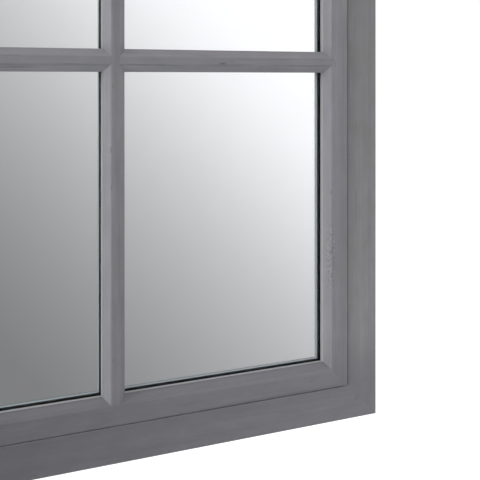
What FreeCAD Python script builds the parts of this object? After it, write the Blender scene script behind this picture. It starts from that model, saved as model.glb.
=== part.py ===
# Window mirror: a mitred board frame round a sash with glazing bars, nine panes, a back board and hangers.
# Frame: +Z up, +X right seen from the front, the front faces -Y.
# The origin is the middle of the top rail's back face.
import FreeCAD
import Part
import Sketcher
import math
import os
import re

# Driving dimensions in millimetres: name, value, what it sizes.
SIZES = (
    ("overall_width", 900, "frame from edge to edge"),
    ("overall_height", 1200, "frame from bottom to top"),
    ("board_width", 40, "outer board seen from the front"),
    ("board_depth", 30, "outer board from back to front"),
    ("board_arris", 1.2, "rounding of the outer board's front edges"),
    ("rear_rebate_width", 8, "rear rebate of the outer board that takes the sash flange"),
    ("rear_rebate_depth", 16, "the same rebate, from the back"),
    ("sash_width", 29, "sash seen from the front, bevel included"),
    ("sash_proud", 2, "sash face in front of the board face"),
    ("sash_arris", 0.8, "rounding of the sash's outer front edge"),
    ("shadow_gap", 0.6, "joint between the sash and the outer board"),
    ("bevel_run", 7.5, "bevel of sash and bars, across"),
    ("bevel_depth", 6.5, "the same bevel, front to back"),
    ("lip_height", 7.5, "upright lip between bevel and glass"),
    ("bar_width", 24, "glazing bar with both bevels"),
    ("bar_web_width", 6, "web of a bar between two panes"),
    ("bar_end_play", 0.5, "end of a bar's web to the rebate wall"),
    ("tenon_width", 12, "stub tenon on a bar's end"),
    ("tenon_thickness", 3.5, "the same tenon, front to back"),
    ("tenon_length", 11, "the same tenon, into the sash"),
    ("tenon_cover", 2.5, "wood between tenon and glass rebate"),
    ("tenon_play", 0.15, "tenon to mortise wall"),
    ("glass_thickness", 5, "mirror pane"),
    ("glass_rebate_width", 9, "glass rebate of the sash, under the lip"),
    ("pane_lap", 8, "pane edge behind the lip"),
    ("back_board_thickness", 6, "board behind the panes"),
    ("back_board_lap", 10, "sash shelf that the back board is screwed to"),
    ("back_board_play", 0.5, "edge of the back board to the sash"),
    ("spline_thickness", 3, "loose spline in a mitre"),
    ("spline_width", 14, "the same spline, across the mitre"),
    ("board_spline_length", 24, "spline of the outer frame, along the mitre"),
    ("sash_spline_length", 14, "spline of the sash, along the mitre"),
    ("spline_set", 7, "spline's middle behind the board's front"),
    ("spline_play", 0.15, "spline to slot wall"),
    ("screw_radius", 1.75, "shank of every countersunk screw"),
    ("screw_head_radius", 3.5, "head of every countersunk screw"),
    ("screw_play", 0.15, "shank to hole wall"),
    ("screw_tip", 3, "pointed end of a screw"),
    ("sash_screw_length", 18, "screw through the flange"),
    ("back_screw_length", 16, "screw through the back board"),
    ("hang_drop", 400, "ring pivots below the top edge"),
    ("strap_thickness", 1.2, "strap hanger's sheet"),
    ("strap_width", 16, "strap hanger across"),
    ("strap_length", 50, "strap hanger below the ring pivot"),
    ("strap_end_radius", 5, "rounded lower corners of the strap"),
    ("eye_mouth", 0.9, "slot between the rolled eye's end and the strap"),
    ("strap_screw_length", 15, "strap screw under its head"),
    ("strap_head_height", 2.2, "pan head of a strap screw"),
    ("ring_wire", 3, "wire of the ring"),
    ("ring_play", 0.25, "wire to the eye's inside"),
    ("ring_width", 23, "ring from wire middle to wire middle"),
    ("ring_corner", 3, "bend at the ends of the ring's bar"),
    ("ring_side", 4, "straight sides of the ring"),
    ("bumper_radius", 7, "rubber bumper"),
    ("bumper_thickness", 6.5, "rubber bumper, frame to wall"),
    ("bumper_taper", 1, "bumper narrower at the wall"),
    ("bumper_rim", 1, "rounding of the bumper's rim"),
    ("bumper_rise", 60, "bumper middle above the bottom edge"),
    ("overcut", 6, "cutters past the wood they cut"),
)
VALUE = {name: value for name, value, what in SIZES}
COLUMN_NAMES = ("left", "centre", "right")
ROW_NAMES = ("bottom", "middle", "top")
UPRIGHT_NAMES = ("left", "right")
CROSS_NAMES = ("lower", "upper")
SASH_SCREW_SHARES = (-0.66, 0, 0.66)
BACK_SCREW_SHARES = (-0.6, 0, 0.6)
STRAP_SCREW_SHARES = (0.58, 0.84)
PAN_TOP_SHARE = 0.62
PAN_RIM_SHARE = 0.45
EYE_SLOT_SHARE = 0.3

# Sizes that follow from the driving ones, and the levels front to back.
DERIVED = {
    "edge_to_sight": "(board_width + shadow_gap + sash_width)",
    "sight_width": "(overall_width - 2 * edge_to_sight)",
    "sight_height": "(overall_height - 2 * edge_to_sight)",
    "pane_width": f"((sight_width - {len(UPRIGHT_NAMES)} * bar_width) / {len(COLUMN_NAMES)})",
    "pane_height": f"((sight_height - {len(CROSS_NAMES)} * bar_width) / {len(ROW_NAMES)})",
    "back_face_width": "(board_width - rear_rebate_width)",
    "face_level": "(-board_depth - sash_proud)",
    "bevel_level": "(face_level + bevel_depth)",
    "glass_level": "(bevel_level + lip_height)",
    "board_level": "(glass_level + glass_thickness)",
    "sash_back_level": "(board_level + back_board_thickness)",
    "rebate_level": "(-rear_rebate_depth)",
    "tenon_back": "(glass_level - tenon_cover)",
    "tenon_front": "(tenon_back - tenon_thickness)",
    "half_face": "(bar_width / 2 - bevel_run)",
    "hole_radius": "(screw_radius + screw_play)",
    "spline_level": "(-board_depth + spline_set)",
    "eye_inside": "(ring_wire / 2 + ring_play)",
    "eye_outside": "(eye_inside + strap_thickness)",
    "centre_height": "(back_face_width / 2 - overall_height / 2)",
    "hang_height": "(back_face_width / 2 - hang_drop)",
    "flange_middle": "(board_width + shadow_gap - rear_rebate_width / 2)",
    "shelf_middle": "(glass_rebate_width + back_board_lap / 2)",
    "diagonal": "sqrt(0.5)",
}

doc = FreeCAD.newDocument("window_mirror")
sheet = doc.addObject("Spreadsheet::Sheet", "Sizes")
for row, (name, value, what) in enumerate(SIZES, start=1):
    sheet.set(f"A{row}", what)
    sheet.set(f"B{row}", str(value))
    sheet.setAlias(f"B{row}", name)
doc.recompute()
nodes = []


def bound(text):
    """An expression in which derived names are written out and driving names point at the sheet."""
    def swap(found):
        word = found.group(0)
        if word in DERIVED:
            return bound(DERIVED[word])
        if word in VALUE:
            return f"Sizes.{word}"
        return word
    return re.sub(r"[a-z][a-z_]*", swap, str(text))


def plane_of(body, role):
    return next(item for item in body.Origin.OriginFeatures if item.Role == role)


def new_body(label, node=True):
    body = doc.addObject("PartDesign::Body", label)
    body.Label = label
    if node:
        nodes.append(body)
    return body


def put(item, across="0", depth="0", height="0", turn=0):
    """Places an item: turned about Y by an angle in degrees, then moved to a bound position."""
    item.Placement = FreeCAD.Placement(FreeCAD.Vector(), FreeCAD.Rotation(FreeCAD.Vector(0, 1, 0), turn))
    for axis, text in zip("xyz", (across, depth, height)):
        item.setExpression(f"Placement.Base.{axis}", bound(text))


def new_sketch(body, role, offset="0"):
    sketch = body.newObject("Sketcher::SketchObject", "sketch")
    sketch.AttachmentSupport = [(plane_of(body, role), "")]
    sketch.MapMode = "FlatFace"
    sketch.setExpression("AttachmentOffset.Base.z", bound(offset))
    return sketch


def pin(sketch, line, end, across, up):
    """Fixes one end of a line by two bound distances from the sketch's origin."""
    point = sketch.getPoint(line, end)
    for kind, text, now in (("DistanceX", across, point.x), ("DistanceY", up, point.y)):
        index = sketch.addConstraint(Sketcher.Constraint(kind, -1, 1, line, end, now))
        sketch.setExpression(f"Constraints[{index}]", bound(text))


def polygon(sketch, corners):
    first = sketch.GeometryCount
    count = len(corners)
    ring = []
    for index in range(count):
        angle = 2 * math.pi * index / count
        ring.append(FreeCAD.Vector(math.cos(angle), math.sin(angle), 0) * VALUE["overall_width"])
    for index in range(count):
        sketch.addGeometry(Part.LineSegment(ring[index], ring[(index + 1) % count]), False)
    for index in range(count):
        after = first + (index + 1) % count
        sketch.addConstraint(Sketcher.Constraint("Coincident", first + index, 2, after, 1))
    for index, (across, up) in enumerate(corners):
        pin(sketch, first + index, 1, across, up)


def circle(sketch, across, up, radius):
    start = Part.Circle(FreeCAD.Vector(), FreeCAD.Vector(0, 0, 1), VALUE["board_width"])
    index = sketch.addGeometry(start, False)
    pin(sketch, index, 3, across, up)
    size = sketch.addConstraint(Sketcher.Constraint("Radius", index, VALUE["board_width"]))
    sketch.setExpression(f"Constraints[{size}]", bound(radius))


def extrude(body, sketch, kind, length):
    """A Pad or Pocket of a bound length, half to each side of its sketch."""
    before = body.Shape.Volume if body.Tip else 0
    feature = body.newObject(f"PartDesign::{kind}", kind.lower())
    feature.Profile = sketch
    feature.SideType = "Symmetric"
    feature.setExpression("Length", bound(length))
    doc.recompute()
    grown = body.Shape.Volume - before
    if (grown > 0) != (kind == "Pad"):
        raise ValueError(f"{body.Label}: {kind} changed the volume by {grown}")
    return feature


def revolve(body, corners):
    sketch = new_sketch(body, "XY_Plane")
    polygon(sketch, corners)
    feature = body.newObject("PartDesign::Revolution", "turned")
    feature.Profile = sketch
    feature.ReferenceAxis = (plane_of(body, "Y_Axis"), [""])
    doc.recompute()
    return feature


def number(text):
    """The present value of a bound expression, read back from the gauge sketch."""
    gauge.setExpression("Constraints[0]", bound(text))
    gauge.recompute()
    return gauge.Constraints[0].Value


def dress(body, kind, size_name, size, chosen):
    """A Fillet or Chamfer on those edges of the body for which chosen is true."""
    base = body.Tip
    names = [f"Edge{n}" for n, edge in enumerate(base.Shape.Edges, start=1) if chosen(edge)]
    if not names:
        raise ValueError(f"{body.Label}: no edges to dress")
    feature = body.newObject(f"PartDesign::{kind}", kind.lower())
    feature.Base = (base, names)
    feature.setExpression(size_name, bound(size))
    doc.recompute()


def near(one, other):
    return abs(one - other) < VALUE["spline_play"] / 10


def runs_at(x, y):
    """True for an edge along Z at this place across and in depth."""
    def test(edge):
        ends = [vertex.Point for vertex in edge.Vertexes]
        return len(ends) == 2 and all(near(end.x, x) and near(end.y, y) for end in ends)
    return test


def hole_rim_at(y):
    """True for a full round edge about Y at this depth."""
    def test(edge):
        full_round = edge.Curve.TypeId == "Part::GeomCircle" and len(edge.Vertexes) == 1
        return full_round and near(edge.Curve.Center.y, y)
    return test


# A one-line sketch that turns expressions into numbers where edges are picked by place.
gauge = doc.addObject("Sketcher::SketchObject", "gauge")
gauge.addGeometry(Part.LineSegment(FreeCAD.Vector(), FreeCAD.Vector(VALUE["board_width"], 0, 0)), False)
gauge.addConstraint(Sketcher.Constraint("DistanceX", 0, 1, 0, 2, VALUE["board_width"]))
doc.recompute()


def mitre(body, inner, outer, half_length, width):
    """Cuts both ends at 45 degrees: the mitre runs from the inner to the outer corner."""
    sketch = new_sketch(body, "XZ_Plane")
    for side in ("", "-"):
        polygon(sketch, (
            (f"{outer} + overcut", f"{side}({half_length} + overcut)"),
            (f"{inner} - overcut", f"{side}({half_length} - {width} - overcut)"),
            (f"{inner} - overcut", f"{side}({half_length} + overcut)"),
        ))
    extrude(body, sketch, "Pocket", "4 * board_depth")


def spline_slots(body, across, half_length, length):
    """Slots over both mitres for the loose splines."""
    sketch = new_sketch(body, "XZ_Plane", "-spline_level")
    along = f"(({length}) / 2 + spline_play) * diagonal"
    aside = "(spline_width / 2 + spline_play) * diagonal"
    for side in ("", "-"):
        polygon(sketch, (
            (f"{across} + {along} + {aside}", f"{side}({half_length} + {along} - {aside})"),
            (f"{across} + {along} - {aside}", f"{side}({half_length} + {along} + {aside})"),
            (f"{across} - {along} - {aside}", f"{side}({half_length} - {along} + {aside})"),
            (f"{across} - {along} + {aside}", f"{side}({half_length} - {along} - {aside})"),
        ))
    extrude(body, sketch, "Pocket", "spline_thickness + 2 * spline_play")


def drill(body, level, places, radius, reach):
    """Round holes about Y at bound places, cut to both sides of a level."""
    sketch = new_sketch(body, "XZ_Plane", f"-({level})")
    for across, up in places:
        circle(sketch, across, up, radius)
    extrude(body, sketch, "Pocket", f"2 * ({reach})")


# The four sides: name, turn about Y, distance over the mirror, length, and the bars that end on that side.
SIDES = (
    ("stile_right", 0, "overall_width", "overall_height", "sight_height", "pane_height"),
    ("stile_left", 180, "overall_width", "overall_height", "sight_height", "pane_height"),
    ("rail_top", -90, "overall_height", "overall_width", "sight_width", "pane_width"),
    ("rail_bottom", 90, "overall_height", "overall_width", "sight_width", "pane_width"),
)


def outer_board(name, turn, over, length):
    """One outer board: rear rebate, mitred ends, spline slots, pilot holes and eased front edges."""
    body = new_body(f"outer_{name}")
    edge = f"({over} / 2)"
    end = f"({length} / 2)"
    inner = f"({edge} - board_width)"
    section = new_sketch(body, "XY_Plane")
    polygon(section, (
        (edge, "0"),
        (edge, "-board_depth"),
        (inner, "-board_depth"),
        (inner, "rebate_level"),
        (f"{inner} + rear_rebate_width", "rebate_level"),
        (f"{inner} + rear_rebate_width", "0"),
    ))
    extrude(body, section, "Pad", length)
    mitre(body, inner, edge, end, "board_width")
    front = number("-board_depth")
    places = (number(edge), number(inner))
    dress(body, "Fillet", "Radius", "board_arris", lambda item: any(runs_at(x, front)(item) for x in places))
    spline_slots(body, f"({edge} - board_width / 2)", f"({end} - board_width / 2)", "board_spline_length")
    screws = [(f"{edge} - flange_middle", f"{share} * {end}") for share in SASH_SCREW_SHARES]
    reach = "sash_screw_length - (sash_back_level - rebate_level) + screw_tip / 2"
    drill(body, "rebate_level", screws, "hole_radius", reach)
    if name.startswith("stile"):
        up = -1 if turn else 1
        straps = []
        for share in STRAP_SCREW_SHARES:
            height = f"{up} * (overall_height / 2 - hang_drop - {share} * strap_length)"
            straps.append((f"{edge} - back_face_width / 2", height))
        drill(body, "0", straps, "hole_radius", "strap_screw_length + screw_tip / 2")
    put(body, height="centre_height", turn=turn)


def sash_member(name, turn, over, sight, pane):
    """One sash member: lip, bevel, face, flange, glass rebate and shelf, mitred, mortised and drilled."""
    body = new_body(f"sash_{name}")
    edge = f"({over} / 2 - edge_to_sight)"
    end = f"({sight} / 2)"
    side = f"({edge} + sash_width)"
    flange = f"({side} + rear_rebate_width)"
    rebate = f"({edge} + glass_rebate_width)"
    shelf = f"({rebate} + back_board_lap)"
    full = "(sash_width + rear_rebate_width)"
    section = new_sketch(body, "XY_Plane")
    polygon(section, (
        (edge, "glass_level"),
        (edge, "bevel_level"),
        (f"{edge} + bevel_run", "face_level"),
        (side, "face_level"),
        (side, "rebate_level"),
        (flange, "rebate_level"),
        (flange, "sash_back_level"),
        (shelf, "sash_back_level"),
        (shelf, "board_level"),
        (rebate, "board_level"),
        (rebate, "glass_level"),
    ))
    extrude(body, section, "Pad", f"{sight} + 2 * {full}")
    mitre(body, edge, flange, f"({end} + {full})", full)
    outer_x = number(side)
    front = number("face_level")
    dress(body, "Fillet", "Radius", "sash_arris", runs_at(outer_x, front))
    middle = "((glass_rebate_width + sash_width) / 2)"
    spline_slots(body, f"({edge} + {middle})", f"({end} + {middle})", "sash_spline_length")
    mortises = new_sketch(body, "YZ_Plane", edge)
    for place in (f"(({pane} + bar_width) / 2)", f"(-({pane} + bar_width) / 2)"):
        half = "(tenon_width / 2 + tenon_play)"
        polygon(mortises, (
            ("tenon_front - tenon_play", f"{place} - {half}"),
            ("tenon_back + tenon_play", f"{place} - {half}"),
            ("tenon_back + tenon_play", f"{place} + {half}"),
            ("tenon_front - tenon_play", f"{place} + {half}"),
        ))
    extrude(body, mortises, "Pocket", "2 * (tenon_length + tenon_play)")
    shelf_screws = [(f"{edge} + shelf_middle", f"{share} * {end}") for share in BACK_SCREW_SHARES]
    reach = "back_screw_length - back_board_thickness + screw_tip / 2"
    drill(body, "board_level", shelf_screws, "hole_radius", reach)
    length = "overall_width" if over == "overall_height" else "overall_height"
    row = f"{over} / 2 - flange_middle"
    flange_screws = [(row, f"{share} * {length} / 2") for share in SASH_SCREW_SHARES]
    drill(body, "sash_back_level", flange_screws, "hole_radius", "rear_rebate_depth")
    back = number("sash_back_level")
    dress(body, "Chamfer", "Size", "screw_head_radius - screw_radius", hole_rim_at(back))
    put(body, height="centre_height", turn=turn)


for name, turn, over, length, sight, pane in SIDES:
    outer_board(name, turn, over, length)
    sash_member(name, turn, over, sight, pane)


def glazing_bar(label, sight, crossings, through):
    """One glazing bar: web and bevels, ends scribed over the sash, stub tenons, halved crossings."""
    body = new_body(label)
    half = "(bar_width / 2)"
    web = "(bar_web_width / 2)"
    section = new_sketch(body, "XY_Plane")
    polygon(section, (
        (half, "glass_level"),
        (half, "bevel_level"),
        ("half_face", "face_level"),
        ("-half_face", "face_level"),
        (f"-{half}", "bevel_level"),
        (f"-{half}", "glass_level"),
        (f"-{web}", "glass_level"),
        (f"-{web}", "board_level"),
        (web, "board_level"),
        (web, "glass_level"),
    ))
    extrude(body, section, "Pad", f"{sight} + 2 * (glass_rebate_width - bar_end_play)")
    scribes = new_sketch(body, "YZ_Plane")
    end = f"({sight} / 2)"
    far = f"({end} + glass_rebate_width + overcut)"
    for side in ("", "-"):
        polygon(scribes, (
            ("glass_level", f"{side}{end}"),
            ("glass_level", f"{side}{far}"),
            ("face_level - overcut", f"{side}{far}"),
            ("face_level - overcut", f"{side}({end} + bevel_run)"),
            ("face_level", f"{side}({end} + bevel_run)"),
            ("bevel_level", f"{side}{end}"),
        ))
    extrude(body, scribes, "Pocket", "2 * bar_width")
    tenons = new_sketch(body, "XY_Plane")
    polygon(tenons, (
        ("tenon_width / 2", "tenon_front"),
        ("tenon_width / 2", "tenon_back"),
        ("-tenon_width / 2", "tenon_back"),
        ("-tenon_width / 2", "tenon_front"),
    ))
    extrude(body, tenons, "Pad", f"{sight} + 2 * tenon_length")
    notches = new_sketch(body, "YZ_Plane")
    for place in crossings:
        if through:
            polygon(notches, (
                ("bevel_level", f"{place} - {half}"),
                ("bevel_level", f"{place} + {half}"),
                ("glass_level", f"{place} + {half}"),
                ("glass_level", f"{place} + {web}"),
                ("board_level + overcut", f"{place} + {web}"),
                ("board_level + overcut", f"{place} - {web}"),
                ("glass_level", f"{place} - {web}"),
                ("glass_level", f"{place} - {half}"),
            ))
        else:
            polygon(notches, (
                ("bevel_level", f"{place} - {half}"),
                ("bevel_level", f"{place} + {half}"),
                ("face_level", f"{place} + half_face"),
                ("face_level - overcut", f"{place} + half_face"),
                ("face_level - overcut", f"{place} - half_face"),
                ("face_level", f"{place} - half_face"),
            ))
    extrude(body, notches, "Pocket", "2 * bar_width")
    return body


def spread(count, step):
    """Bound places of count things a step apart, about zero."""
    return [f"({index - (count - 1) / 2} * ({step}))" for index in range(count)]


UPRIGHT_PLACES = spread(len(UPRIGHT_NAMES), "pane_width + bar_width")
CROSS_PLACES = spread(len(CROSS_NAMES), "pane_height + bar_width")
for name, place in zip(UPRIGHT_NAMES, UPRIGHT_PLACES):
    bar = glazing_bar(f"upright_bar_{name}", "sight_height", CROSS_PLACES, True)
    put(bar, across=place, height="centre_height")
for name, place in zip(CROSS_NAMES, CROSS_PLACES):
    bar = glazing_bar(f"cross_bar_{name}", "sight_width", UPRIGHT_PLACES, False)
    put(bar, height=f"centre_height + {place}", turn=90)


def sheet_piece(label, width, height, front, thickness):
    """A flat rectangular sheet about the origin."""
    body = new_body(label)
    outline = new_sketch(body, "XZ_Plane", f"-({front} + {thickness} / 2)")
    polygon(outline, (
        (f"{width} / 2", f"{height} / 2"),
        (f"-{width} / 2", f"{height} / 2"),
        (f"-{width} / 2", f"-{height} / 2"),
        (f"{width} / 2", f"-{height} / 2"),
    ))
    extrude(body, outline, "Pad", thickness)
    return body


# The mirror panes, one behind each opening.
for row, up in zip(ROW_NAMES, spread(len(ROW_NAMES), "pane_height + bar_width")):
    for column, across in zip(COLUMN_NAMES, spread(len(COLUMN_NAMES), "pane_width + bar_width")):
        size = ("(pane_width + 2 * pane_lap)", "(pane_height + 2 * pane_lap)")
        pane = sheet_piece(f"mirror_pane_{row}_{column}", *size, "glass_level", "glass_thickness")
        put(pane, across=across, height=f"centre_height + {up}")

# The back board lies on the panes, the bars' webs and the sash shelf.
board_margin = "2 * (glass_rebate_width + back_board_lap - back_board_play)"
back_board = sheet_piece("back_board", f"(sight_width + {board_margin})", f"(sight_height + {board_margin})",
                         "board_level", "back_board_thickness")
back_places = []
for share in BACK_SCREW_SHARES:
    for side in ("", "-"):
        back_places.append((f"{side}(sight_width / 2 + shelf_middle)", f"{share} * sight_height / 2"))
        back_places.append((f"{share} * sight_width / 2", f"{side}(sight_height / 2 + shelf_middle)"))
drill(back_board, "board_level", back_places, "hole_radius", "2 * back_board_thickness")
outside = number("sash_back_level")
dress(back_board, "Chamfer", "Size", "screw_head_radius - screw_radius", hole_rim_at(outside))
put(back_board, height="centre_height")


def group(label, pattern, placements):
    """One node of separate copies of a pattern body; each placement is what put takes."""
    copies = []
    for placement in placements:
        copy = doc.addObject("App::Link", f"{label}_copy")
        copy.LinkedObject = pattern
        copy.LinkTransform = False
        put(copy, **placement)
        copies.append(copy)
    node = doc.addObject("Part::Compound", label)
    node.Label = label
    node.Links = copies
    nodes.append(node)


def countersunk_screw(label, length):
    body = new_body(label, node=False)
    revolve(body, (
        ("0", "0"),
        ("screw_head_radius", "0"),
        ("screw_radius", "screw_radius - screw_head_radius"),
        ("screw_radius", f"screw_tip - {length}"),
        ("0", f"-{length}"),
    ))
    return body


back_screw = countersunk_screw("back_screw", "back_screw_length")
group("back_board_screws", back_screw, [
    {"across": across, "depth": "sash_back_level", "height": f"centre_height + {up}"}
    for across, up in back_places
])
sash_screw = countersunk_screw("sash_screw", "sash_screw_length")
sash_places = []
for share in SASH_SCREW_SHARES:
    for side in ("", "-"):
        sash_places.append((f"{side}(overall_width / 2 - flange_middle)", f"{share} * overall_height / 2"))
        sash_places.append((f"{share} * overall_width / 2", f"{side}(overall_height / 2 - flange_middle)"))
group("sash_screws", sash_screw, [
    {"across": across, "depth": "sash_back_level", "height": f"centre_height + {up}"}
    for across, up in sash_places
])


def spline(label, length):
    body = new_body(label, node=False)
    outline = new_sketch(body, "XZ_Plane")
    polygon(outline, (
        (f"{length} / 2", "spline_width / 2"),
        (f"-{length} / 2", "spline_width / 2"),
        (f"-{length} / 2", "-spline_width / 2"),
        (f"{length} / 2", "-spline_width / 2"),
    ))
    extrude(body, outline, "Pad", "spline_thickness")
    return body


def corner_splines(label, pattern, set_in):
    corners = []
    for side in (1, -1):
        for up in (1, -1):
            corners.append({
                "across": f"{side} * (overall_width / 2 - {set_in})",
                "depth": "spline_level",
                "height": f"centre_height + {up} * (overall_height / 2 - {set_in})",
                "turn": -45 * side * up,
            })
    group(label, pattern, corners)


corner_splines("outer_corner_splines", spline("board_spline", "board_spline_length"), "board_width / 2")
sash_set_in = "(edge_to_sight - (glass_rebate_width + sash_width) / 2)"
corner_splines("sash_corner_splines", spline("sash_spline", "sash_spline_length"), sash_set_in)


def strap(label):
    """Strap hanger: a flat strap, an eye rolled round the ring's bar, two screw holes."""
    body = new_body(label)
    leg = new_sketch(body, "YZ_Plane")
    polygon(leg, (
        ("0", "0"),
        ("strap_thickness", "0"),
        ("strap_thickness", "-strap_length"),
        ("0", "-strap_length"),
    ))
    extrude(body, leg, "Pad", "strap_width")
    eye = new_sketch(body, "YZ_Plane")
    circle(eye, "eye_outside", "0", "eye_outside")
    circle(eye, "eye_outside", "0", "eye_inside")
    extrude(body, eye, "Pad", "strap_width")
    mouth = new_sketch(body, "YZ_Plane")
    slot_start = f"-{EYE_SLOT_SHARE} * eye_inside"
    polygon(mouth, (
        ("strap_thickness", slot_start),
        ("strap_thickness + eye_mouth", slot_start),
        ("strap_thickness + eye_mouth", "-2 * eye_outside"),
        ("strap_thickness", "-2 * eye_outside"),
    ))
    extrude(body, mouth, "Pocket", "2 * strap_width")
    low = number("-strap_length")

    def lower_corner(edge):
        ends = [vertex.Point for vertex in edge.Vertexes]
        flat = len(ends) == 2 and near(ends[0].x, ends[1].x)
        return flat and all(near(end.z, low) for end in ends)

    dress(body, "Fillet", "Radius", "strap_end_radius", lower_corner)
    holes = [("0", f"-{share} * strap_length") for share in STRAP_SCREW_SHARES]
    drill(body, "0", holes, "hole_radius", "4 * strap_thickness")
    return body


def ring(label):
    """D-ring: round wire along a bar, two bends, two sides and a half circle."""
    body = new_body(label)
    half = VALUE["ring_width"] / 2
    bar_end = half - VALUE["ring_corner"]
    knee = -VALUE["ring_corner"]
    foot = knee - VALUE["ring_side"]
    path = new_sketch(body, "XZ_Plane")

    def spot(across, up):
        return FreeCAD.Vector(across, up, 0)

    def bend(centre, radius, start, stop):
        round_form = Part.Circle(centre, FreeCAD.Vector(0, 0, 1), radius)
        return Part.ArcOfCircle(round_form, math.radians(start), math.radians(stop))

    bar = path.addGeometry(Part.LineSegment(spot(-bar_end, 0), spot(bar_end, 0)), False)
    right = path.addGeometry(Part.LineSegment(spot(half, knee), spot(half, foot)), False)
    left = path.addGeometry(Part.LineSegment(spot(-half, foot), spot(-half, knee)), False)
    bend_right = path.addGeometry(bend(spot(bar_end, knee), VALUE["ring_corner"], 0, 90), False)
    bow = path.addGeometry(bend(spot(0, foot), half, 180, 360), False)
    bend_left = path.addGeometry(bend(spot(-bar_end, knee), VALUE["ring_corner"], 90, 180), False)
    joints = ((bar, 2, bend_right, 2), (bend_right, 1, right, 1), (right, 2, bow, 2),
              (bow, 1, left, 1), (left, 2, bend_left, 2), (bend_left, 1, bar, 1))
    for one, one_end, other, other_end in joints:
        path.addConstraint(Sketcher.Constraint("Coincident", one, one_end, other, other_end))
    pin(path, bar, 1, "ring_corner - ring_width / 2", "0")
    pin(path, bar, 2, "ring_width / 2 - ring_corner", "0")
    pin(path, right, 1, "ring_width / 2", "-ring_corner")
    pin(path, right, 2, "ring_width / 2", "-ring_corner - ring_side")
    pin(path, left, 1, "-ring_width / 2", "-ring_corner - ring_side")
    pin(path, left, 2, "-ring_width / 2", "-ring_corner")
    for arc, kind, text, now in (
        (bend_right, "DistanceX", "ring_width / 2 - ring_corner", bar_end),
        (bow, "DistanceY", "-ring_corner - ring_side", foot),
        (bend_left, "DistanceX", "ring_corner - ring_width / 2", -bar_end),
    ):
        index = path.addConstraint(Sketcher.Constraint(kind, -1, 1, arc, 3, now))
        path.setExpression(f"Constraints[{index}]", bound(text))
    wire = new_sketch(body, "YZ_Plane")
    circle(wire, "0", "0", "ring_wire / 2")
    doc.recompute()
    pipe = body.newObject("PartDesign::AdditivePipe", "wire_form")
    pipe.Profile = wire
    pipe.Spine = path
    doc.recompute()
    return body


for side, sign in (("left", "-"), ("right", "")):
    stile_middle = f"{sign}(overall_width / 2 - back_face_width / 2)"
    put(strap(f"hanger_strap_{side}"), across=stile_middle, height="hang_height")
    put(ring(f"hanger_ring_{side}"), across=stile_middle, depth="eye_outside", height="hang_height")
    bumper = new_body(f"wall_bumper_{side}")
    revolve(bumper, (
        ("0", "0"),
        ("bumper_radius", "0"),
        ("bumper_radius - bumper_taper", "bumper_thickness"),
        ("0", "bumper_thickness"),
    ))
    rim = number("bumper_thickness")
    dress(bumper, "Fillet", "Radius", "bumper_rim", hole_rim_at(rim))
    put(bumper, across=stile_middle, height="centre_height - overall_height / 2 + bumper_rise")

# Pan-headed screws of the straps; their heads bear on the strap.
pan_screw = new_body("pan_screw", node=False)
revolve(pan_screw, (
    ("0", "strap_head_height"),
    (f"{PAN_TOP_SHARE} * screw_head_radius", "strap_head_height"),
    ("screw_head_radius", f"{PAN_RIM_SHARE} * strap_head_height"),
    ("screw_head_radius", "0"),
    ("screw_radius", "0"),
    ("screw_radius", "screw_tip - strap_screw_length"),
    ("0", "-strap_screw_length"),
))
group("hanger_screws", pan_screw, [
    {"across": f"{sign}(overall_width / 2 - back_face_width / 2)", "depth": "strap_thickness",
     "height": f"hang_height - {share} * strap_length"}
    for sign in ("", "-") for share in STRAP_SCREW_SHARES
])

doc.recompute()
for item in doc.Objects:
    if {"Invalid", "Error"} & set(item.State):
        raise ValueError(f"{item.Label}: {item.State}")
os.makedirs("parts", exist_ok=True)
for node in nodes:
    if node.Shape.isNull() or not node.Shape.isValid():
        raise ValueError(f"{node.Label}: no valid shape")
    node.Shape.exportStep(f"parts/{node.Label}.step")
    box = node.Shape.BoundBox
    corners = (box.XMin, box.XMax, box.YMin, box.YMax, box.ZMin, box.ZMax)
    print(node.Label, len(node.Shape.Solids), [round(value, 1) for value in corners])
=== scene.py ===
import math

import bmesh
import bpy
from mathutils import Euler, Matrix, Vector


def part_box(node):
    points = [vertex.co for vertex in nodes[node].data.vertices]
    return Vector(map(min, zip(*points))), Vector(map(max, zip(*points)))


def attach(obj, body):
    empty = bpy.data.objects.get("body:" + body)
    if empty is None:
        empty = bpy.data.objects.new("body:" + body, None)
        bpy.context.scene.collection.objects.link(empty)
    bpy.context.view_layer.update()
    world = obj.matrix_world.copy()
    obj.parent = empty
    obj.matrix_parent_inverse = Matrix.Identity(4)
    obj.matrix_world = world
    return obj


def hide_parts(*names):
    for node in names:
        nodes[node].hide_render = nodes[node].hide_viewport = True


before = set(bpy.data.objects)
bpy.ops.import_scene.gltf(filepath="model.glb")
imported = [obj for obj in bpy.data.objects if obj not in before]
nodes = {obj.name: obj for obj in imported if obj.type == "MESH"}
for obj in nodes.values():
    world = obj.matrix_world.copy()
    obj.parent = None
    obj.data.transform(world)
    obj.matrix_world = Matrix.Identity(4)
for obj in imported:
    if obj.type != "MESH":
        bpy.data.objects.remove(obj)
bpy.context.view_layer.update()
MM = 0.001

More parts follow.
